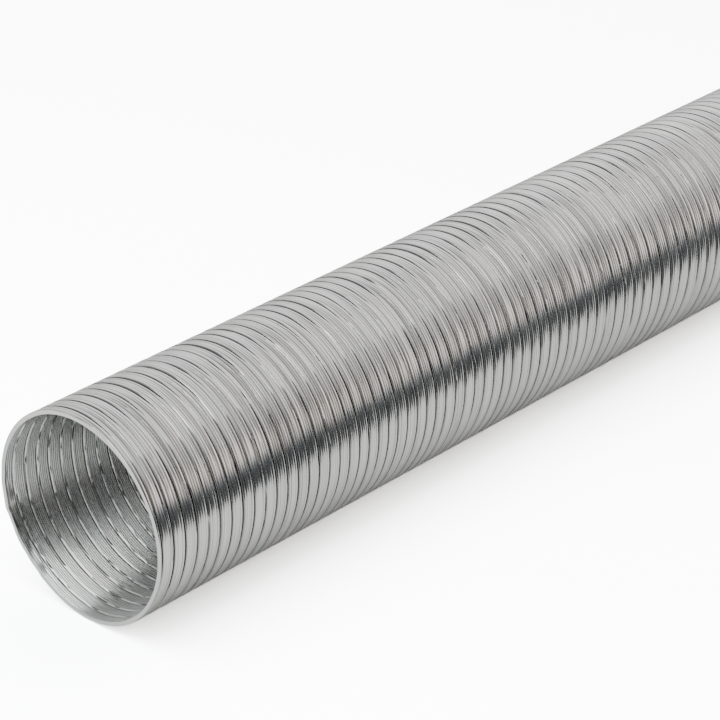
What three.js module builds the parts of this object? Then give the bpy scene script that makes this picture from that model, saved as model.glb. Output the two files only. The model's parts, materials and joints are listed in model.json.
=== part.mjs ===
// Semi-rigid flexible air duct, pushed together and lying on its side.
// One pleated aluminium strip is wound into a helix, and each turn is folded onto the next in a
// lock seam. The tube pulls out and bends because its pleats open. Here it is divided into rigid
// rings of a few turns each, which slide and hinge against each other where the pleats would open.
// Millimetres, +Z up. The duct's axis runs along X, its open mouths face -X and +X, it rests on
// Z = 0, and the origin lies under the middle of its length.

import * as THREE from 'three';

// Driving dimensions
const BORE_DIAMETER = 125;        // clear bore, which slips over a 125 mm spigot
const WALL_DEPTH = 3;             // from the seam bead's crest inside to the flat band outside
const SEAM_PITCH = 9.2;           // from one turn to the next, with the duct pushed together
const GROOVE_DEPTH = 0.8;         // of the groove that the lock seam leaves outside
const TURNS_PER_SECTION = 2;
const SECTION_COUNT = 36;
const SECTION_GAP = 0.3;          // running clearance between neighbouring sections
const FACETS = 24;                // around the tube, with flats at the top, bottom and sides

const ALUMINIUM = { color: 0xc9c9c6, roughness: 0.32, metalness: 1 };

// Derived sizes. The flats of the facets touch the true bore and the true outside.
const BORE_RADIUS = BORE_DIAMETER / 2;
const OUTER_RADIUS = BORE_RADIUS + WALL_DEPTH;
const FLAT_TO_CORNER = 1 / Math.cos(Math.PI / FACETS);
const SECTION_LENGTH = TURNS_PER_SECTION * SEAM_PITCH;
const TOTAL_LENGTH = SECTION_COUNT * SECTION_LENGTH;

// The wall's outline in one section, as (radius, distance along the axis) from the section's
// start. Every seam is a groove, except at a mouth, where the wall is cut square.
function sectionOutline(length, cutAtStart, cutAtEnd) {
  const grooveRadius = OUTER_RADIUS - GROOVE_DEPTH;
  const outline = [new THREE.Vector2(BORE_RADIUS, 0)];
  outline.push(new THREE.Vector2(cutAtStart ? OUTER_RADIUS : grooveRadius, 0));
  for (let turn = 0; turn < TURNS_PER_SECTION; turn += 1) {
    const crest = (turn + 0.5) * (length / TURNS_PER_SECTION);
    outline.push(new THREE.Vector2(OUTER_RADIUS, crest));
    if (turn < TURNS_PER_SECTION - 1) {
      outline.push(new THREE.Vector2(grooveRadius, crest + length / TURNS_PER_SECTION / 2));
    }
  }
  outline.push(new THREE.Vector2(cutAtEnd ? OUTER_RADIUS : grooveRadius, length));
  outline.push(new THREE.Vector2(BORE_RADIUS, length));
  outline.push(outline[0].clone());
  return outline;
}

// One ring of the duct, revolved about the duct's axis.
function ductSection(index) {
  const isFront = index === 0;
  const isRear = index === SECTION_COUNT - 1;
  const start = index * SECTION_LENGTH + (isFront ? 0 : SECTION_GAP / 2);
  const end = (index + 1) * SECTION_LENGTH - (isRear ? 0 : SECTION_GAP / 2);
  const outline = sectionOutline(end - start, isFront, isRear);
  for (const point of outline) {
    point.x *= FLAT_TO_CORNER;
  }
  const geometry = new THREE.LatheGeometry(outline, FACETS, Math.PI / FACETS);
  const section = new THREE.Mesh(geometry, new THREE.MeshStandardMaterial(ALUMINIUM));
  section.name = sectionName(index);
  section.rotation.z = -Math.PI / 2;
  section.position.set(start - TOTAL_LENGTH / 2, 0, OUTER_RADIUS);
  return section;
}

function sectionName(index) {
  if (index === 0) {
    return 'front_mouth_section';
  }
  if (index === SECTION_COUNT - 1) {
    return 'rear_mouth_section';
  }
  return `duct_section_${String(index + 1).padStart(2, '0')}`;
}

const duct = new THREE.Group();
for (let index = 0; index < SECTION_COUNT; index += 1) {
  duct.add(ductSection(index));
}

export default duct;
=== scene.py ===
import json
import math

import bpy
import numpy as np
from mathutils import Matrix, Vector


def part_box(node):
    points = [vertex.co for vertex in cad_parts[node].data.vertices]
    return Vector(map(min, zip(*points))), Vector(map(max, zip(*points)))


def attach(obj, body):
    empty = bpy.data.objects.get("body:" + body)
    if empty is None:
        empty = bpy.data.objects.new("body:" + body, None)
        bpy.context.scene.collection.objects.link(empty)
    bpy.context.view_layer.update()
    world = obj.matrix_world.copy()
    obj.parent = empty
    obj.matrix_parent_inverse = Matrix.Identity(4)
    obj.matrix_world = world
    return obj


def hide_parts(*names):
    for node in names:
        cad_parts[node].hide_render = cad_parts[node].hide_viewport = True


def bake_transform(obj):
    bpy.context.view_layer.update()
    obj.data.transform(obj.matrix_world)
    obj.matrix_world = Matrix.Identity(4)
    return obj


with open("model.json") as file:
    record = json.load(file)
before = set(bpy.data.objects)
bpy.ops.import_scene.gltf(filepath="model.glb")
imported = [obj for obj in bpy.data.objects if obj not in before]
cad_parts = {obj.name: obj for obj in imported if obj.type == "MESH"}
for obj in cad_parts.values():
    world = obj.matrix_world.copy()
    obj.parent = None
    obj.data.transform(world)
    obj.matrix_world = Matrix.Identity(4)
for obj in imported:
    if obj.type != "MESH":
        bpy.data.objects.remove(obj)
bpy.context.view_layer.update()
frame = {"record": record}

# Semi-rigid flexible air duct: one pleated aluminium strip, wound into a helix and locked to itself
# in a seam at every turn. Its wall is built here as the real helix, inside and outside, and cut
# into lengths that each stretch or bend across one joint. Metres, in the CAD's frame. Angles round
# the duct count from +Y, the far side, towards +Z, the top.

MM = 0.001

# ---------------------------------------------------------------- the duct's driving dimensions
FRONT_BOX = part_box("front_mouth_section")
FRONT_X = FRONT_BOX[0][0]
REAR_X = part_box("rear_mouth_section")[1][0]
OUTER_RADIUS = (FRONT_BOX[1][2] - FRONT_BOX[0][2]) / 2
AXIS_Z = (FRONT_BOX[1][2] + FRONT_BOX[0][2]) / 2
BORE_RADIUS = 62.5 * MM
SECTION_COUNT = len(frame["record"]["behaviour"]["bodies"])
SECTION_LENGTH = (REAR_X - FRONT_X) / SECTION_COUNT
TURNS_PER_SECTION = 2
PITCH = SECTION_LENGTH / TURNS_PER_SECTION

# The turns lie closer together in the middle of the duct than near its mouths: metres from the
# front mouth, and by how many turns the winding there is ahead of an even one.
AHEAD_AT = (0.0, 0.05, 0.10, 0.14, 0.17, 0.20, 0.24, 0.28, 0.32, 0.38, 0.42, 0.48, 0.56, 0.6624)
AHEAD_BY = (0.28, 0.35, 0.40, 0.62, 0.92, 1.23, 1.52, 1.60, 1.71, 1.67, 1.48, 1.09, 0.62, 0.28)
EASE_SAMPLES = 161               # of WINDING_X, over which those values are smoothed
# They also lean, more so further from the front mouth, and not at all at the rear one.
LEAN_AT_MOUTH = 0.12             # in turns
LEAN_GROWTH = 1.35               # in turns per metre
LEAN_GROWS_TO = 0.48             # metres from the front mouth
LEAN_END = 0.64
LEAN_FADE = 0.16                 # how far before its end it starts to fade
LEAN_TOWARDS = math.radians(52)  # where a leaning turn lies furthest back

# Heights and distances across the strip
SEAM_HALF = 0.85 * MM            # half the width of the seam's groove outside
SEAM_DEPTH = 1.35 * MM
GROOVE_SHARE = 0.62              # of that half which is deep
SHADE_SHARE = 0.86               # of that half which has painted shade
SHADE_SHIFT = 0.12 * MM          # the painted shade lies more on the groove's rearward side
SHOULDER_HALF = 1.3 * MM         # of the rounded drop to each side of the groove
SHOULDER_DROP = 0.16 * MM
FOLDS = (2.7 * MM, 6.5 * MM)     # shallow folds between one seam and the next
FOLD_HALF = 0.32 * MM
FOLD_DEPTH = 0.12 * MM
FINE_RIBS = 5                    # from one seam to the next
FINE_HEIGHT = 0.16 * MM
FINE_FROM = 0.9 * MM             # from a seam to where the fine ribs begin to rise
FINE_EASE = 0.8 * MM
OUTER_WAVE = 0.03 * MM           # how far each fine rib wanders in and out
TILT = 0.3 * MM                  # the most that a turn's one side stands above its other
BEAD_HALF = 0.72 * MM            # half the width of the rolled bead inside
BEAD_HEIGHT = 0.72 * MM
BEAD_CREST = 0.3                 # how far rearward its crest lies, as a share of that half
BEAD_SHIFT = 0.3 * MM            # how far the bead steps sideways where it is dented
BEAD_CLEAR = 0.6 * BEAD_HALF     # where the ribs begin beside it, and over which they rise
INNER_BASE = BORE_RADIUS + 0.95 * MM
NOTCH_AT = 1.08 * MM             # from the bead's middle to the gap beside it, mouth side, which has painted shade
NOTCH_HALF = 0.40 * MM
NOTCH_DEPTH = 0.6 * MM
INNER_RIBS = 5                   # between one bead and the next
INNER_RIB_WIDTH = (PITCH - 2 * NOTCH_AT) / INNER_RIBS
INNER_CROWN = 0.26 * MM          # of each of those ribs
INNER_GROOVE = 0.20 * MM         # the depth of the groove between two of them
INNER_GROOVE_HALF = 0.2 * MM
INNER_WAVE = 0.05 * MM           # how far the inside wanders in and out
INNER_WAVE_WIDTH = 2 * MM
LIP_RADIUS = BORE_RADIUS + 0.15 * MM
LIP_LENGTH = 1.3 * MM            # of the plain wall at each cut mouth
RIM_BULGE = 0.3 * MM             # how far the cut edge is rounded out
RIM_RAGGED = 0.1 * MM

# Stretches round the duct: the middle, and half the width
PRESSED_AT, PRESSED_HALF = math.radians(119), math.radians(13)   # seams pressed nearly shut
SEAM_TO_FOLD_SHADE_AT, SEAM_TO_FOLD_SHADE_HALF = math.radians(145), math.radians(12)     # less painted shade in the seams, more in the folds
WIDEST_AT, WIDEST_HALF = math.radians(200), math.radians(30)     # seams, and their painted shade, at their widest
PROUD_AT, PROUD_HALF = math.radians(125), math.radians(25)       # fine ribs, and the painted shade in their grooves, at their boldest
DULL_AND_PAINTED_LIGHT_AT, DULL_AND_PAINTED_LIGHT_HALF = math.radians(243), math.radians(20)         # the inside at its roughest and least bumpy, and painted palest as light
DULL_AND_PAINTED_LIGHT_EXTRA = 1.5                 # how much more of the inside's paler tone, roughness and lesser bump it has there

# The wall's departures from a true cylinder. The front mouth is squashed and crumpled at its
# lower left.
OVAL_DEPTH = 0.08 * MM
OVAL_TWIST = 9                   # radians per metre
SQUASHED_AT, SQUASHED_HALF = math.radians(-58), 0.5              # in radians
SQUASHED_DEPTH = 2.0 * MM
SQUASHED_LENGTH = 26 * MM
CRUMPLED_AT, CRUMPLED_HALF = math.radians(-30), math.radians(34)
CRUMPLED_DEPTH = 0.7 * MM
CRUMPLED_LENGTH = 9 * MM
CRUMPLED_LANE = 2.2 * MM         # the width of one row of dents

ROWS = 192                       # of vertices round the duct
SNAP = 0.05 * MM                 # vertices this near to a cut lie on it

# What varies by chance along the strip, and how many times a turn it may change
CHANCE_RATES = {
    "seam_depth": 5, "seam_closed": 9, "seam_pinched": 23, "seam_width": 3, "outer_wave": 13,
    "tilt": 2.3, "bead_broken": 60, "notch_filled": 11, "inner_wave": 15, "rim_ragged": 60,
    "fold": 6, "fine_rib": 4, "crumple": 70, "bead_step": 44, "dull_rib": 6,
}
# How many turns apart neighbouring ribs or rows take their chances, so that they don't match
CHANCE_STRIDES = {
    "fold": 31.7, "fine_rib": 17.3, "outer_wave": 17.3, "dull_rib": 41.9, "inner_wave": 11.7,
    "crumple": 7.3,
}
# Above which chance each of these begins, and by how much more it is full
SEAM_CLOSED = (0.62, 0.2)
SEAM_PINCHED = (0.72, 0.15)
BEAD_BROKEN = (0.45, 0.15)
NOTCH_FILLED = (0.6, 0.2)
NOISE_CELLS = 8192
NOISE_START = 400                # the cell at which the strip's first turn begins
rng = np.random.default_rng(41)
NOISE = dict(zip(CHANCE_RATES, rng.uniform(-1, 1, (len(CHANCE_RATES), NOISE_CELLS))))

# How much chance and the stretches change the seams and ribs, as shares of their size
DEPTH_SPREAD = 0.2
WIDTH_SPREAD = 0.2
CLOSED_BY = 0.7
PRESSED_BY = 0.5
PINCHED_BY = 0.5
WIDER_BY = 0.25                  # where a seam is pinched, and on the widest stretch
FOLD_SPREAD = 0.8
RIB_SPREAD = 0.7
PROUD_LEAST = 0.35
PROUD_EXTRA = 0.95
NOTCH_FILLED_BY = 0.5
STEP_SHARPNESS = 6               # how abruptly the bead steps sideways
STEP_HALF = 0.12                 # of the range of chances in which that breaks it

# How far each of them takes the foil towards the painted shade's tone, where 1 is all the way
SEAM_DARK = 1.8                  # of a seam of full depth, before it is held to 1
SHOULDER_DARK = 0.15
FOLD_DARK = 0.35
SEAM_TO_FOLD_SHADE = 0.25             # how much less painted shade the seams and more the folds have there
RIB_DARK = 0.2
DULL_DARK = 0.5
BREAK_DARK = 1.2
DENT_DARK = 1.6
DENT_FROM = 0.25                 # the depth at which a dent begins to get painted shade


def smoothstep(t):
    t = np.clip(t, 0, 1)
    return t * t * (3 - 2 * t)


def above(value, threshold, ease):
    """From 0 at the threshold to 1 at ease beyond it."""
    return smoothstep((value - threshold) / ease)


def bell(distance, half, power=2):
    """From 1 at no distance to nearly 0 well beyond half, flatter on top for a higher power."""
    return np.exp(-((distance / half) ** power))


def stretch_round(theta, middle, half, reach=1.6):
    """1 in the middle of a stretch round the duct, and 0 from reach times its half."""
    return smoothstep(reach - np.abs(theta - middle) / half)


def angle_from(theta, place):
    """The angle from a place round the duct, from -pi to pi."""
    return np.angle(np.exp(1j * (theta - place)))


def eased_through(x, places, values):
    """A smoothed line through the values at the given places."""
    line = np.interp(x, places, values)
    window = np.hanning(EASE_SAMPLES)
    padded = np.pad(line, EASE_SAMPLES // 2, mode="edge")
    return np.convolve(padded, window / window.sum(), "valid")


def strip_noise(along, name, lane=0):
    """Smooth noise from -1 to 1 along the strip, where along counts turns and lane the ribs or
    rows that lie side by side."""
    at = (along + CHANCE_STRIDES.get(name, 0) * lane) * CHANCE_RATES[name] + NOISE_START
    cell = np.floor(at).astype(int)
    share = smoothstep(at - cell)
    row = NOISE[name]
    return row[cell % NOISE_CELLS] * (1 - share) + row[(cell + 1) % NOISE_CELLS] * share


# ---------------------------------------------------------------- the winding
# Every quarter of a millimetre, from before the front mouth to beyond the rear one
WINDING_X = np.linspace(-0.05, 0.72, 3081)
WINDING_TURNS = WINDING_X / PITCH + eased_through(WINDING_X, AHEAD_AT, AHEAD_BY)


def lean_at(from_front):
    """How far the turns lean there, in turns."""
    fade = smoothstep((LEAN_END - from_front) / LEAN_FADE)
    return (LEAN_AT_MOUTH + LEAN_GROWTH * np.clip(from_front, 0, LEAN_GROWS_TO)) * fade


def strip_turns(x, theta):
    """How many turns of the strip lie before a point of the wall. Seams are at whole numbers."""
    from_front = x - FRONT_X
    lean = lean_at(from_front) * np.cos(theta - LEAN_TOWARDS)
    return np.interp(from_front, WINDING_X, WINDING_TURNS) + theta / (2 * math.pi) - lean


def strip_x(turns, theta):
    """The inverse of strip_turns, by repeated correction."""
    from_front = turns * PITCH
    for _ in range(6):
        lean = lean_at(from_front) * np.cos(theta - LEAN_TOWARDS)
        straight = turns - theta / (2 * math.pi) + lean
        from_front = np.interp(straight, WINDING_TURNS, WINDING_X)
    return FRONT_X + from_front


def strip_place(x, theta):
    """Where a point of the wall is on the strip: metres across it from the seam before, and how
    many turns along it."""
    turns = strip_turns(x, theta)
    whole = np.floor(turns)
    return (turns - whole) * PITCH, whole - theta / (2 * math.pi)


def from_nearest_seam(across, along):
    """Metres from the nearest seam, positive on its rearward side, and turns along that seam."""
    past_middle = across > PITCH / 2
    return np.where(past_middle, across - PITCH, across), along + past_middle


# ---------------------------------------------------------------- the wall's shape
def out_of_round(x, theta):
    """Slow departures from a true cylinder, shared by both sides of the wall."""
    oval = -OVAL_DEPTH * (1 + np.cos(2 * theta + OVAL_TWIST * x))
    low_left = bell(angle_from(theta, SQUASHED_AT), SQUASHED_HALF)
    squashed = -SQUASHED_DEPTH * low_left * bell(x - FRONT_X, SQUASHED_LENGTH)
    return oval + squashed + CRUMPLED_DEPTH * crumple(x, theta)


def crumple(x, theta):
    """Small dents at the lower left of the front mouth, from -1 to 1."""
    from_mouth = x - FRONT_X
    extent = bell(angle_from(theta, CRUMPLED_AT), CRUMPLED_HALF, 4)
    extent = extent * bell(from_mouth, CRUMPLED_LENGTH)
    lane = np.floor(from_mouth / CRUMPLED_LANE)
    return extent * strip_noise(theta / (2 * math.pi), "crumple", lane)


# Each of the next three takes a point's place across and along the strip and its angle, and
# returns what the feature adds to the height there and to the painted shade there.
def outer_seam(across, along, theta):
    """The lock seam's groove and shoulders, with painted shade in both. In places it is closed up,
    or pinched deeper.
    """
    signed, nearest = from_nearest_seam(across, along)
    closed = above(strip_noise(nearest, "seam_closed"), *SEAM_CLOSED)
    pinched = above(strip_noise(nearest, "seam_pinched"), *SEAM_PINCHED)
    pressed = stretch_round(theta, PRESSED_AT, PRESSED_HALF)
    depth = 1 + DEPTH_SPREAD * strip_noise(nearest, "seam_depth")
    depth = depth * (1 - CLOSED_BY * closed) * (1 - PRESSED_BY * pressed) + PINCHED_BY * pinched
    wide = bell(theta - WIDEST_AT, WIDEST_HALF, 4)
    width = 1 + WIDER_BY * (pinched + wide) + WIDTH_SPREAD * strip_noise(nearest, "seam_width")
    groove = bell(signed, GROOVE_SHARE * SEAM_HALF * width, 4)
    shoulder = bell(signed, SHOULDER_HALF)
    height = -SHOULDER_DROP * shoulder - SEAM_DEPTH * depth * groove
    # Painted shade: dark in the groove, less so on one stretch round the duct, a little on the
    # shoulders.
    darkest = 1 - SEAM_TO_FOLD_SHADE * stretch_round(theta, SEAM_TO_FOLD_SHADE_AT, SEAM_TO_FOLD_SHADE_HALF)
    shade = bell(signed - SHADE_SHIFT, SHADE_SHARE * SEAM_HALF * width, 6)
    shade = shade * np.clip(SEAM_DARK * depth, 0, darkest)
    return height, SHOULDER_DARK * shoulder * depth + shade


def outer_folds(across, along, theta):
    """The shallow folds, which come and go, with painted shade in them."""
    fold = 0
    for number, place in enumerate(FOLDS):
        uneven = 1 + FOLD_SPREAD * strip_noise(along, "fold", number)
        fold = fold + uneven * bell(across - place, FOLD_HALF)
    dark = FOLD_DARK + SEAM_TO_FOLD_SHADE * stretch_round(theta, SEAM_TO_FOLD_SHADE_AT, SEAM_TO_FOLD_SHADE_HALF)
    return -FOLD_DEPTH * fold, dark * fold


def outer_ribs(across, along, theta):
    """The fine ribs, which are duller here and there, with painted shade in their grooves. Both are
    bolder on one stretch round the duct.
    """
    rib = np.round(across / PITCH * FINE_RIBS)
    wavy = np.cos(2 * math.pi * FINE_RIBS * across / PITCH)
    uneven = 1 + RIB_SPREAD * strip_noise(along, "fine_rib", rib)
    from_seam = np.minimum(across, PITCH - across)
    proud = PROUD_LEAST + PROUD_EXTRA * stretch_round(theta, PROUD_AT, PROUD_HALF, 1.7)
    proud = proud * above(from_seam, FINE_FROM, FINE_EASE)
    wave = OUTER_WAVE * strip_noise(along, "outer_wave", rib)
    dull = np.clip(strip_noise(along, "dull_rib", rib), 0, 1)
    height = 0.5 * FINE_HEIGHT * uneven * wavy * proud + wave
    return height, (RIB_DARK * uneven * (1 - wavy) ** 2 + DULL_DARK * dull) * proud


def outer_radius(x, theta):
    """The outside radius, and the painted shade of its seams, folds and rib grooves, from 0 to 1.
    """
    across, along = strip_place(x, theta)
    radius = OUTER_RADIUS + TILT * strip_noise(along, "tilt") * (across / PITCH - 0.5)
    painted_shade = 0
    for feature in (outer_seam, outer_folds, outer_ribs):
        height, depth = feature(across, along, theta)
        radius = radius + height
        painted_shade = painted_shade + depth
    return radius + out_of_round(x, theta), np.clip(painted_shade, 0, 1)


def bead_profile(place):
    """The bead's height from 0 to 1: an even slope facing the front mouth, then a rounded back."""
    slope = (place + 1) / (1 + BEAD_CREST)
    back = np.sqrt(np.clip(1 - ((place - BEAD_CREST) / (1 - BEAD_CREST)) ** 2, 0, 1))
    return np.where(place < BEAD_CREST, np.clip(slope, 0, 1), back) * (place < 1)


def inner_ribs(across):
    """The height of the crowned ribs inside, and how deep in a groove between two of them a point
    is, from 0 to 1."""
    place = np.clip((across - NOTCH_AT) / INNER_RIB_WIDTH, 0, INNER_RIBS - 1e-6)
    share = place - np.floor(place)
    groove = bell(np.minimum(share, 1 - share) * INNER_RIB_WIDTH, INNER_GROOVE_HALF)
    return INNER_CROWN * (1 - (2 * share - 1) ** 2) - INNER_GROOVE * groove, groove


def inner_radius(x, theta):
    """The inside radius, and the painted shade of its notches, grooves, broken bead and dents, from
    0 to 1.
    """
    across, along = strip_place(x, theta)
    signed, nearest = from_nearest_seam(across, along)
    # The bead is broken into dashes, and where it steps sideways it is broken too.
    step = strip_noise(nearest, "bead_step")
    off_bead = signed - BEAD_SHIFT * smoothstep(0.5 + STEP_SHARPNESS * step)
    dashed = above(strip_noise(nearest, "bead_broken"), *BEAD_BROKEN)
    broken = np.maximum(dashed, bell(step, STEP_HALF))
    bead = bead_profile(off_bead / BEAD_HALF)
    filled = above(strip_noise(nearest, "notch_filled"), *NOTCH_FILLED)
    notch = bell(off_bead + NOTCH_AT, NOTCH_HALF, 4) * (1 - NOTCH_FILLED_BY * filled)
    ribs, groove = inner_ribs(across)
    off_seam = above(np.abs(off_bead), BEAD_CLEAR, BEAD_CLEAR)
    lane = np.floor(across / INNER_WAVE_WIDTH)
    wave = INNER_WAVE * strip_noise(along, "inner_wave", lane)
    radius = INNER_BASE - (ribs + wave) * off_seam
    radius = radius - BEAD_HEIGHT * bead * (1 - broken) + NOTCH_DEPTH * notch
    # Painted shade in the notch, where the bead is broken, and in the grooves between ribs.
    painted_shade = np.clip(notch + BREAK_DARK * broken * bead + groove * off_seam, 0, 1)
    # At a mouth the wall runs out plain to its cut edge, and has painted shade where it is dented.
    lip = smoothstep(1 - np.minimum(x - FRONT_X, REAR_X - x) / LIP_LENGTH)
    radius = radius * (1 - lip) + LIP_RADIUS * lip
    dented = np.clip(-crumple(x, theta) - DENT_FROM, 0, 1)
    painted_shade = np.clip(painted_shade * (1 - lip) + DENT_DARK * dented, 0, 1)
    return radius + out_of_round(x, theta), painted_shade


# ---------------------------------------------------------------- its mesh
def strip_columns(places):
    """Where the mesh has a line of vertices along the strip, as shares of a turn, from places in
    metres across the strip."""
    return np.unique(np.round(np.array([place % PITCH for place in places]) / PITCH, 5))


def both_sides(middle, offsets):
    return [middle + side * offset for offset in offsets for side in (-1, 1)]


def inner_rib_places():
    shares = (0.0, 0.09, 0.2, 0.5, 0.8, 0.91)
    places = [NOTCH_AT + (rib + share) * INNER_RIB_WIDTH
              for rib in range(INNER_RIBS) for share in shares]
    return places + [PITCH - NOTCH_AT]


OUTER_COLUMNS = strip_columns(
    both_sides(0, [share * SEAM_HALF for share in (0, 0.25, 0.5, 0.62, 0.8, 1.2)])
    + [PITCH * quarter / (4 * FINE_RIBS) for quarter in range(4, 4 * FINE_RIBS - 3)]
)
BEAD_SHARES = (-1.0, -0.85, -0.5, 0.0, BEAD_CREST, 0.45, 0.6, 0.8, 0.95, 1.0)
INNER_COLUMNS = strip_columns(
    [share * BEAD_HALF for share in BEAD_SHARES]
    + both_sides(-NOTCH_AT, [NOTCH_HALF])
    + inner_rib_places()
)


class Wall:
    """Vertices and faces of one length of the duct, gathered before the mesh is made."""

    def __init__(self):
        self.points = []
        # Painted shade at each vertex, from 0 to 1
        self.painted_shades = []
        self.insides = []        # 0 outside, 1 inside and more where the inside is rougher and painted paler as light
        self.count = 0
        self.faces = []
        self.flat = []

    def add_points(self, x, theta, radius, painted_shade, inside):
        """Adds vertices in the shape of x, and returns their numbers in that shape."""
        block = np.stack(
            [x, radius * np.cos(theta), AXIS_Z + radius * np.sin(theta)], axis=-1
        ).reshape(-1, 3)
        # Painted light: the inside is paler, as well as rougher and less bumpy, on one stretch
        # round the duct.
        dull = 1 + DULL_AND_PAINTED_LIGHT_EXTRA * bell(theta - DULL_AND_PAINTED_LIGHT_AT, DULL_AND_PAINTED_LIGHT_HALF)
        self.points.append(block)
        self.painted_shades.append(np.broadcast_to(painted_shade, x.shape).reshape(-1))
        self.insides.append(inside * np.broadcast_to(dull, x.shape).reshape(-1))
        first = self.count
        self.count += len(block)
        return first + np.arange(len(block)).reshape(x.shape)

    def add_faces(self, corners, flat=False):
        self.faces.extend(corners)
        self.flat.extend([flat] * len(corners))


def row_angles():
    return np.arange(ROWS) * (2 * math.pi / ROWS)


def helical_surface(wall, radius_at, columns, x_low, x_high, outward):
    """Adds one side of the wall from x_low to x_high. Columns follow the helix, and each row ends
    exactly on the two planes. Returns the rings of vertices on the planes."""
    theta = row_angles()
    first_turn = math.floor(strip_turns(x_low, theta).min()) - 1
    last_turn = math.ceil(strip_turns(x_high, theta).max()) + 1
    turns = np.concatenate([columns + turn for turn in range(first_turn, last_turn + 1)])
    x = strip_x(turns[:, None], theta[None, :])
    rings = []
    for edge in (x_low, x_high):
        at = np.full(ROWS, edge)
        rings.append(wall.add_points(at, theta, *radius_at(at, theta), not outward))

    # Vertices short of the low plane give way to its ring's, and those past the high plane to
    # its own.
    before = x <= x_low + SNAP
    between = ~(before | (x >= x_high - SNAP))
    ids = np.where(before, rings[0][None, :], rings[1][None, :])
    x_between = x[between]
    theta_between = np.broadcast_to(theta, x.shape)[between]
    radius, painted_shade = radius_at(x_between, theta_between)
    ids[between] = wall.add_points(x_between, theta_between, radius, painted_shade, not outward)

    # Once round the duct, a column goes on as the same column of the turn before.
    wrapped = np.full(len(turns), rings[0][0])
    wrapped[len(columns):] = ids[:-len(columns), 0]
    ids = np.concatenate([ids, wrapped[:, None]], axis=1)

    # A face that has lost an edge at a plane is a triangle, and one that has lost two is left out.
    a, b = ids[:-1, :-1].ravel(), ids[1:, :-1].ravel()
    c, d = ids[1:, 1:].ravel(), ids[:-1, 1:].ravel()
    this_row, next_row = a != b, c != d
    quads = np.stack([a, d, c, b] if outward else [a, b, c, d], axis=1)
    ends_next = np.stack([a, c, b] if outward else [a, b, c], axis=1)
    ends_this = np.stack([a, d, c] if outward else [a, c, d], axis=1)
    wall.add_faces(quads[this_row & next_row].tolist())
    wall.add_faces(ends_next[this_row & ~next_row].tolist())
    wall.add_faces(ends_this[~this_row & next_row].tolist())
    return rings


def ring_faces(near, far):
    """Quads between two rings of vertices, wound so that near to far is the first edge."""
    near_next, far_next = np.roll(near, -1), np.roll(far, -1)
    return np.stack([near, far, far_next, near_next], axis=1).tolist()


def rolled_rim(wall, outer_ring, inner_ring, x, outward_x):
    """The cut edge at a mouth: pressed flat, with its two corners rounded."""
    theta = row_angles()
    points = np.concatenate(wall.points)
    radius = np.hypot(points[:, 1], points[:, 2] - AXIS_Z)
    rings = [outer_ring]
    for share in (0.06, 0.2, 0.5, 0.8, 0.94):
        bulge = RIM_BULGE * (1 - (2 * share - 1) ** 4)
        ragged = RIM_RAGGED * strip_noise(theta / (2 * math.pi) + share, "rim_ragged")
        at = x + outward_x * (bulge + ragged * math.sin(math.pi * share))
        across = radius[outer_ring] * (1 - share) + radius[inner_ring] * share
        rings.append(wall.add_points(at, theta, across, 0.0, False))
    rings.append(inner_ring)
    for near, far in zip(rings, rings[1:]):
        wall.add_faces(ring_faces(near, far) if outward_x < 0 else ring_faces(far, near))


def add_attribute(mesh, name, kind, field, blocks):
    values = np.concatenate(blocks).astype(np.float32).ravel()
    mesh.attributes.new(name, kind, "POINT").data.foreach_set(field, values)


def duct_length(name, x_low, x_high, material):
    """One closed length of the duct's wall, as a mesh object."""
    wall = Wall()
    outer = helical_surface(wall, outer_radius, OUTER_COLUMNS, x_low, x_high, True)
    inner = helical_surface(wall, inner_radius, INNER_COLUMNS, x_low, x_high, False)
    if x_low == FRONT_X:
        rolled_rim(wall, outer[0], inner[0], x_low, -1)
    else:
        wall.add_faces(ring_faces(outer[0], inner[0]), flat=True)
    if x_high == REAR_X:
        rolled_rim(wall, outer[1], inner[1], x_high, 1)
    else:
        wall.add_faces(ring_faces(inner[1], outer[1]), flat=True)
    mesh = bpy.data.meshes.new(name)
    mesh.from_pydata(np.concatenate(wall.points).tolist(), [], wall.faces)
    mesh.polygons.foreach_set("use_smooth", [not flat for flat in wall.flat])
    add_attribute(mesh, "rest", "FLOAT_VECTOR", "vector", wall.points)
    # The painted shade of seams, folds, grooves and dents, for the foil's tone
    add_attribute(mesh, "painted_shade", "FLOAT", "value", wall.painted_shades)
    add_attribute(mesh, "inside", "FLOAT", "value", wall.insides)
    mesh.materials.append(material)
    mesh.update()
    piece = bpy.data.objects.new(name, mesh)
    bpy.context.scene.collection.objects.link(piece)
    return piece


# ---------------------------------------------------------------- shader nodes
def connect(tree, source, target):
    """Links a node's output to an input, or sets the input to a plain value."""
    if isinstance(source, bpy.types.NodeSocket):
        tree.links.new(source, target)
    else:
        target.default_value = source


def attribute(tree, name, output):
    node = tree.nodes.new("ShaderNodeAttribute")
    node.attribute_name = name
    return node.outputs[output]


def calculate(tree, operation, *operands):
    node = tree.nodes.new("ShaderNodeMath")
    node.operation = operation
    for operand, target in zip(operands, node.inputs):
        connect(tree, operand, target)
    return node.outputs["Value"]


def split_vector(tree, vector):
    node = tree.nodes.new("ShaderNodeSeparateXYZ")
    connect(tree, vector, node.inputs["Vector"])
    return node.outputs


def blend_by(tree, factor, first, second):
    """From the first colour to the second as the factor goes from 0 to 1."""
    mix = tree.nodes.new("ShaderNodeMix")
    mix.data_type = "RGBA"
    connect(tree, factor, mix.inputs["Factor"])
    connect(tree, first, mix.inputs["A"])
    connect(tree, second, mix.inputs["B"])
    return mix.outputs["Result"]


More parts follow.
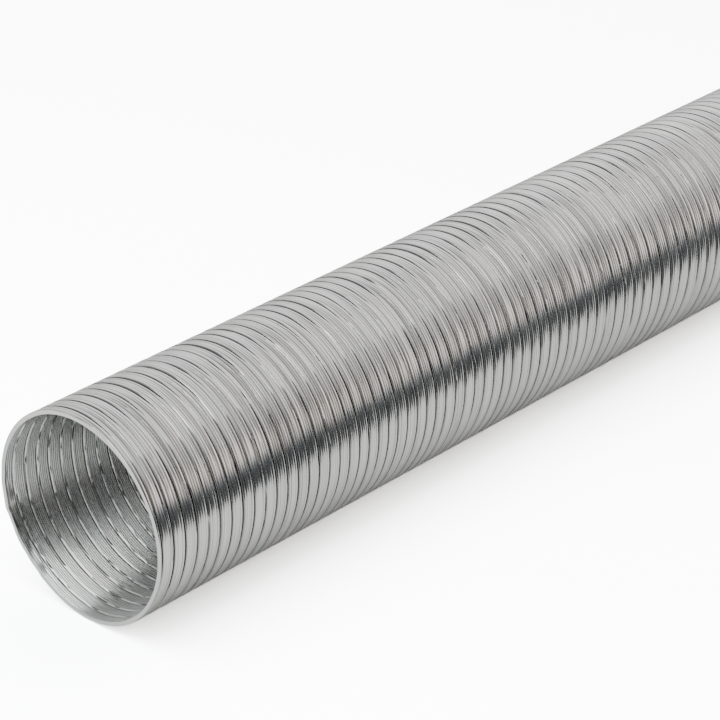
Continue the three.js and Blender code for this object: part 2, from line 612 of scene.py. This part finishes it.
def eased_between(tree, source, places, values=(0.0, 1.0)):
    """From the first value to the second as the source goes from one place to the other."""
    node = tree.nodes.new("ShaderNodeMapRange")
    node.interpolation_type = "SMOOTHSTEP"
    node.inputs["From Min"].default_value, node.inputs["From Max"].default_value = places
    node.inputs["To Min"].default_value, node.inputs["To Max"].default_value = values
    connect(tree, source, node.inputs["Value"])
    return node.outputs["Result"]


def ramp(tree, source, stops):
    """A colour ramp, from stops of a position and a colour."""
    node = tree.nodes.new("ShaderNodeValToRGB")
    elements = node.color_ramp.elements
    while len(elements) < len(stops):
        elements.new(0.5)
    for element, (position, colour) in zip(elements, stops):
        element.position = position
        element.color = (*colour, 1)
    connect(tree, source, node.inputs["Fac"])
    return node.outputs["Color"]


# ---------------------------------------------------------------- the foil
# Noises: how fine along the duct and round it, per metre, and how many finer layers
TONE_NOISE = (90, 14, 3)
GLOSS_NOISE = (700, 40, 2)
BUMP_NOISE = (2500, 60, 2)

TONES = ((0.3, (0.735, 0.745, 0.755)), (0.7, (0.875, 0.86, 0.84)))
INSIDE_TONE = (0.96, 0.955, 0.945, 1)
INSIDE_TONE_SHARE = 0.22
# The dark tone of the painted shade in seams, folds, grooves and dents
PAINTED_SHADE_TONE = (0.25, 0.245, 0.238, 1)
ROUGHNESSES = ((0.3, (0.13, 0.13, 0.13)), (0.7, (0.21, 0.21, 0.21)))
INSIDE_ROUGHER = 0.09
BUMP_STRENGTH = 0.25
INSIDE_SMOOTHER = 0.1            # how much less bump it has inside
BUMP_DISTANCE = 0.04 * MM


def stretched_noise(tree, place, along_duct, round_duct, detail):
    mapping = tree.nodes.new("ShaderNodeMapping")
    mapping.inputs["Scale"].default_value = (along_duct, round_duct, round_duct)
    connect(tree, place, mapping.inputs["Vector"])
    noise = tree.nodes.new("ShaderNodeTexNoise")
    noise.inputs["Scale"].default_value = 1.0
    noise.inputs["Detail"].default_value = detail
    connect(tree, mapping.outputs["Vector"], noise.inputs["Vector"])
    return noise.outputs["Fac"]


def aluminium_material():
    """Bright rolled foil: fine lines round the duct, slow tone changes, painted shade in the seams.
    """
    material = bpy.data.materials.new("pleated_aluminium")
    material.use_nodes = True
    tree = material.node_tree
    shader = tree.nodes["Principled BSDF"]
    rest = attribute(tree, "rest", "Vector")
    inside = attribute(tree, "inside", "Fac")

    tone = ramp(tree, stretched_noise(tree, rest, *TONE_NOISE), TONES)
    paler = calculate(tree, "MULTIPLY", inside, INSIDE_TONE_SHARE)
    tone = blend_by(tree, paler, tone, INSIDE_TONE)
    # Painted shade: the tone goes dark in seams, folds, grooves and dents
    tone = blend_by(tree, attribute(tree, "painted_shade", "Fac"), tone, PAINTED_SHADE_TONE)
    gloss = ramp(tree, stretched_noise(tree, rest, *GLOSS_NOISE), ROUGHNESSES)
    roughness = calculate(tree, "MULTIPLY_ADD", inside, INSIDE_ROUGHER, gloss)
    strength = calculate(tree, "MULTIPLY_ADD", inside, -INSIDE_SMOOTHER, BUMP_STRENGTH)
    bump = tree.nodes.new("ShaderNodeBump")
    bump.inputs["Distance"].default_value = BUMP_DISTANCE
    connect(tree, strength, bump.inputs["Strength"])
    connect(tree, stretched_noise(tree, rest, *BUMP_NOISE), bump.inputs["Height"])

    shader.inputs["Metallic"].default_value = 1.0
    connect(tree, tone, shader.inputs["Base Color"])
    connect(tree, roughness, shader.inputs["Roughness"])
    connect(tree, bump.outputs["Normal"], shader.inputs["Normal"])
    return material


# ---------------------------------------------------------------- studio
FLOOR_HALF = 9.0
FLOOR_COLOUR = (0.82, 0.815, 0.805, 1)
TABLE_REACH = 0.26               # in front of the duct's axis, as the metal sees it
TABLE_FADE = 0.13
BACKDROP = (9.0, 9.0, 9.0, 1)    # the floor and the backdrop, as the camera sees them

# What the metal sees at each height, from -1 (straight down) to 1 (straight up): value and warmth.
# In front, a dark room with a window and a pale ceiling. Behind, a white sweep.
ROOM = (
    (-1.0, 0.08, 0.0), (-0.04, 0.08, -0.05), (0.05, 0.09, -0.10), (0.14, 0.33, -0.10),
    (0.25, 1.9, 0.07), (0.42, 1.95, 0.09), (0.54, 0.72, 0.02), (0.60, 0.8, 0.0),
    (0.70, 1.32, 0.0), (0.80, 1.7, 0.01), (1.0, 1.7, 0.01),
)
SWEEP = (
    (-1.0, 1.1, 0.01), (0.0, 1.2, 0.01), (0.3, 1.5, 0.0), (0.54, 1.6, 0.0), (0.7, 1.55, 0.0),
)
# On the left, dark walls below a bright ceiling, and a bright panel that the front mouth faces
LEFT = (
    (-1.0, 0.3, 0.0), (0.1, 0.25, 0.0), (0.3, 0.15, 0.0), (0.56, 0.15, 0.0), (0.72, 2.6, -0.02),
)
LEFT_PANEL = (4.7, 5.0, 4.95, 1)

# Between which two values of a direction's X or Y one of them gives way to another
LEFT_TO_RIGHT_X = (-0.25, 0.25)
ROOM_TO_SWEEP_Y = (0.2, 0.45)
LEFT_PANEL_X = (-0.42, -0.66)
LEFT_PANEL_Y = (-0.52, -0.3)
ROOM_RISE_X = (0.68, 0.98)
ROOM_RISE = (0.0, 0.26)          # how much higher the room reaches towards the right
STRENGTH_X = (0.1, 0.9)
STRENGTH = (0.32, 1.14)          # of all of it, to the left and to the right

SOFTBOX_PLACE = (-1.1, 0.1, 1.9)
SOFTBOX_AIM = (-1.1, 0.1, 0)
SOFTBOX_SIZE = (1.4, 2.0)
SOFTBOX_POWER = 38
SOFTBOX_COLOUR = (0.93, 1.0, 0.98)

CAMERA_AZIMUTH = math.radians(-47.53)
CAMERA_ELEVATION = math.radians(27.5)
CAMERA_DISTANCE = 1.8
CAMERA_LENS = 147.2              # in millimetres, on a sensor of the next width
CAMERA_SENSOR = 36
CAMERA_AIM = (-0.0933, 0.0053, 0.0724)


def floor_material():
    """A pale matt sweep, which ends as a table's edge would where the metal sees it."""
    material = bpy.data.materials.new("pale_floor")
    material.use_nodes = True
    tree = material.node_tree
    tree.nodes.remove(tree.nodes["Principled BSDF"])
    to_camera = tree.nodes.new("ShaderNodeLightPath").outputs["Is Camera Ray"]
    pale = tree.nodes.new("ShaderNodeBsdfDiffuse")
    connect(tree, blend_by(tree, to_camera, FLOOR_COLOUR, BACKDROP), pale.inputs["Color"])
    place = split_vector(tree, tree.nodes.new("ShaderNodeTexCoord").outputs["Object"])
    near = eased_between(tree, place["Y"], (-TABLE_REACH - TABLE_FADE, -TABLE_REACH))
    beyond = tree.nodes.new("ShaderNodeBsdfTransparent")
    mix = tree.nodes.new("ShaderNodeMixShader")
    connect(tree, calculate(tree, "MAXIMUM", near, to_camera), mix.inputs[0])
    connect(tree, beyond.outputs["BSDF"], mix.inputs[1])
    connect(tree, pale.outputs["BSDF"], mix.inputs[2])
    connect(tree, mix.outputs["Shader"], tree.nodes["Material Output"].inputs["Surface"])
    return material


def add_floor():
    bpy.ops.mesh.primitive_plane_add(size=2 * FLOOR_HALF, location=(0, 0, 0))
    floor = bpy.context.object
    floor.name = "floor"
    floor.data.materials.append(floor_material())


def light_by_height(tree, height, stops):
    """The colours of the stops at a height from -1 to 1."""
    spread = tree.nodes.new("ShaderNodeMapRange")
    spread.inputs["From Min"].default_value = -1
    connect(tree, height, spread.inputs["Value"])
    colours = [
        ((place + 1) / 2, (value * (1 + warmth), value, value * (1 - warmth)))
        for place, value, warmth in stops
    ]
    return ramp(tree, spread.outputs["Result"], colours)


def add_world():
    """What the metal sees. To the camera itself, all of it is a plain white backdrop."""
    world = bpy.data.worlds.new("studio")
    bpy.context.scene.world = world
    world.use_nodes = True
    tree = world.node_tree
    background = tree.nodes["Background"]
    look = split_vector(tree, tree.nodes.new("ShaderNodeTexCoord").outputs["Generated"])
    to_camera = tree.nodes.new("ShaderNodeLightPath").outputs["Is Camera Ray"]

    sweep = light_by_height(tree, look["Z"], SWEEP)
    behind = eased_between(tree, look["Y"], ROOM_TO_SWEEP_Y)
    rise = eased_between(tree, look["X"], ROOM_RISE_X, ROOM_RISE)
    room = light_by_height(tree, calculate(tree, "SUBTRACT", look["Z"], rise), ROOM)
    right = blend_by(tree, behind, room, sweep)

    left = light_by_height(tree, look["Z"], LEFT)
    panel = blend_by(tree, eased_between(tree, look["Y"], LEFT_PANEL_Y), left, LEFT_PANEL)
    left = blend_by(tree, eased_between(tree, look["X"], LEFT_PANEL_X), left, panel)
    left = blend_by(tree, behind, left, sweep)

    seen = blend_by(tree, eased_between(tree, look["X"], LEFT_TO_RIGHT_X), left, right)
    strength = eased_between(tree, look["X"], STRENGTH_X, STRENGTH)
    connect(tree, blend_by(tree, to_camera, seen, BACKDROP), background.inputs["Color"])
    connect(tree, calculate(tree, "MAXIMUM", strength, to_camera), background.inputs["Strength"])


def add_softbox():
    data = bpy.data.lights.new("softbox", "AREA")
    data.shape = "RECTANGLE"
    data.size, data.size_y = SOFTBOX_SIZE
    data.energy = SOFTBOX_POWER
    data.color = SOFTBOX_COLOUR
    softbox = bpy.data.objects.new("softbox", data)
    bpy.context.scene.collection.objects.link(softbox)
    softbox.location = SOFTBOX_PLACE
    direction = Vector(SOFTBOX_AIM) - Vector(SOFTBOX_PLACE)
    softbox.rotation_euler = direction.to_track_quat("-Z", "Y").to_euler()


def add_camera():
    back = (
        math.sin(CAMERA_AZIMUTH) * math.cos(CAMERA_ELEVATION),
        -math.cos(CAMERA_AZIMUTH) * math.cos(CAMERA_ELEVATION),
        math.sin(CAMERA_ELEVATION),
    )
    data = bpy.data.cameras.new("camera")
    data.lens = CAMERA_LENS
    data.sensor_width = CAMERA_SENSOR
    data.clip_start = 0.05
    data.clip_end = 100
    camera = bpy.data.objects.new("camera", data)
    bpy.context.scene.collection.objects.link(camera)
    camera.location = [a + CAMERA_DISTANCE * b for a, b in zip(CAMERA_AIM, back)]
    camera.rotation_euler = (math.pi / 2 - CAMERA_ELEVATION, 0, CAMERA_AZIMUTH)
    bpy.context.scene.camera = camera


# ---------------------------------------------------------------- the assembly
def body_name(index):
    return f"section_{index + 1:02d}"


def node_of(index):
    return frame["record"]["behaviour"]["bodies"][body_name(index)][0]


def middle_of(index):
    return FRONT_X + (index + 0.5) * SECTION_LENGTH


def build_duct():
    """One piece across each joint, from the middle of one section to the middle of the next, and a
    half section that rides at each mouth."""
    material = aluminium_material()
    front = duct_length("front_mouth_wall", FRONT_X, middle_of(0), material)
    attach(front, body_name(0))
    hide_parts(node_of(0))
    for index in range(SECTION_COUNT - 1):
        low, high = middle_of(index), middle_of(index + 1)
        piece = duct_length(f"duct_wall_{index + 1:02d}", low, high, material)
        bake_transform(piece)
        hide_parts(node_of(index), node_of(index + 1))
    rear = duct_length("rear_mouth_wall", middle_of(SECTION_COUNT - 1), REAR_X, material)
    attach(rear, body_name(SECTION_COUNT - 1))
    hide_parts(node_of(SECTION_COUNT - 1))


add_camera()
add_floor()
add_world()
add_softbox()
build_duct()
